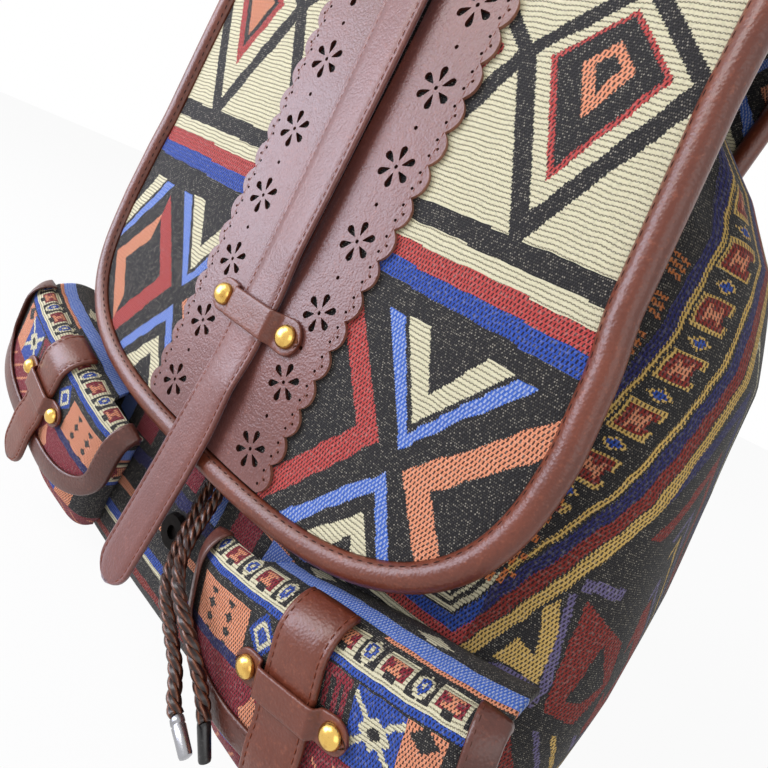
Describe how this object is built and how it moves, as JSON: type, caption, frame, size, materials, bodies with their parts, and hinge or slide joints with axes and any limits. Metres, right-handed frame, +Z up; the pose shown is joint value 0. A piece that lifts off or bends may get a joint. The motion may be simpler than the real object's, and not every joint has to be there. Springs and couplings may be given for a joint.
{
  "type": "canvas backpack",
  "caption": "Drawstring canvas rucksack in woven jacquard with a leather-edged flap, cut-out lace bands, a centre strap, front pockets and padded shoulder straps.",
  "frame": {"origin": "centre of the base on the ground", "axes": "+Z up the bag, -Y out of its front, +X to the right as seen from the front"},
  "size_m": [0.314, 0.2483, 0.3436],
  "materials": {
    "brown_leather": "pebbled faux leather, satin",
    "dark_leather": "smooth dark leather, satin",
    "jacquard": "woven jacquard, matte",
    "antique_brass": "antique plating, satin",
    "black_tip": "smooth, glossy",
    "silver_tip": "smooth, satin",
    "rope": "twisted cord, glossy",
    "gold_metal": "polished gold plating",
    "strap_cloth": "padded woven cloth, matte",
    "webbing": "ribbed webbing, matte"
  },
  "bodies": {
    "bag": {"anchor_tab_left": "brown_leather", "anchor_tab_right": "brown_leather", "back_yoke": "brown_leather", "base_panel": "dark_leather", "body_shell": "jacquard", "body_snap": "antique_brass", "carry_handle": "brown_leather", "centre_strap": "brown_leather", "cord_tip_black": "black_tip", "cord_tip_silver": "silver_tip", "drawstring_left": "rope", "drawstring_right": "rope", "eyelet_left": "antique_brass", "eyelet_right": "antique_brass", "flap": "jacquard", "flap_piping": "brown_leather", "keeper_rivet_left": "gold_metal", "keeper_rivet_right": "gold_metal", "keeper_tab": "brown_leather", "lace_band_left": "brown_leather", "lace_band_right": "brown_leather", "pocket_binding_left": "dark_leather", "pocket_binding_right": "dark_leather", "pocket_flap_left": "jacquard", "pocket_flap_right": "jacquard", "pocket_keeper_left": "brown_leather", "pocket_keeper_right": "brown_leather", "pocket_left": "jacquard", "pocket_right": "jacquard", "pocket_rivet_left_inner": "gold_metal", "pocket_rivet_left_outer": "gold_metal", "pocket_rivet_right_inner": "gold_metal", "pocket_rivet_right_outer": "gold_metal", "pocket_strap_left": "brown_leather", "pocket_strap_right": "brown_leather", "shoulder_strap_left": "strap_cloth", "shoulder_strap_right": "strap_cloth", "strap_snap": "antique_brass", "webbing_left": "webbing", "webbing_right": "webbing"},
    "adjuster_left": {"slider_left": "antique_brass"},
    "adjuster_right": {"slider_right": "antique_brass"}
  },
  "joints": [
    {"name": "adjuster_right_slide", "type": "slide", "parent": "bag", "child": "adjuster_right", "axis": [-0.0376, 0.5145, 0.8567], "range_m": [-0.015, 0.015]},
    {"name": "adjuster_left_slide", "type": "slide", "parent": "bag", "child": "adjuster_left", "axis": [0.0376, 0.5145, 0.8567], "range_m": [-0.015, 0.015]}
  ]
}
